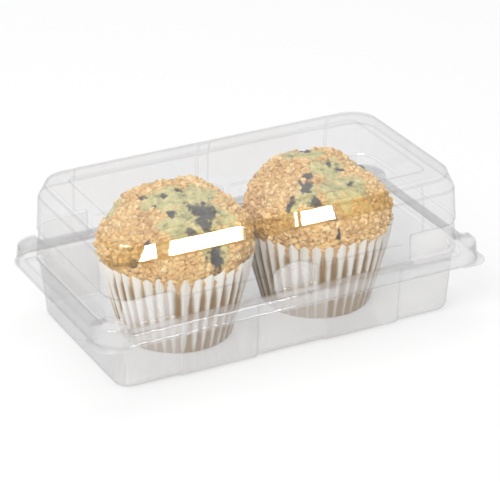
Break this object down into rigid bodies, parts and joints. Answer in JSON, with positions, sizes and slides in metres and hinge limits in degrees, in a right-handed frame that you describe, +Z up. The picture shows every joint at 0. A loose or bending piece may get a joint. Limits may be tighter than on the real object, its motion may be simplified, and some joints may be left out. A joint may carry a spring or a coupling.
{
  "type": "hinged clear muffin box",
  "caption": "Clear hinged clamshell box with a domed lid, holding two muffins in pleated paper liners.",
  "frame": {"origin": "on the table, under the middle of the closed box", "axes": "+X along the length, +Y towards the hinge at the back, +Z up"},
  "size_m": [0.2024, 0.1128, 0.0723],
  "materials": {
    "clear_sheet": "clear, glossy thermoformed sheet",
    "baking_paper": "thin pleated paper, matt",
    "cake": "baked crumb, matt"
  },
  "bodies": {
    "tray": {"tray": "clear_sheet", "liner_left": "baking_paper", "liner_right": "baking_paper", "muffin_left": "cake", "muffin_right": "cake"},
    "lid": {"lid": "clear_sheet"}
  },
  "joints": [
    {"name": "lid_hinge", "type": "hinge", "parent": "tray", "child": "lid", "pos_m": [0, 0.0567, 0.02785], "axis": [-1, 0, 0], "range_deg": [0, 125]}
  ]
}
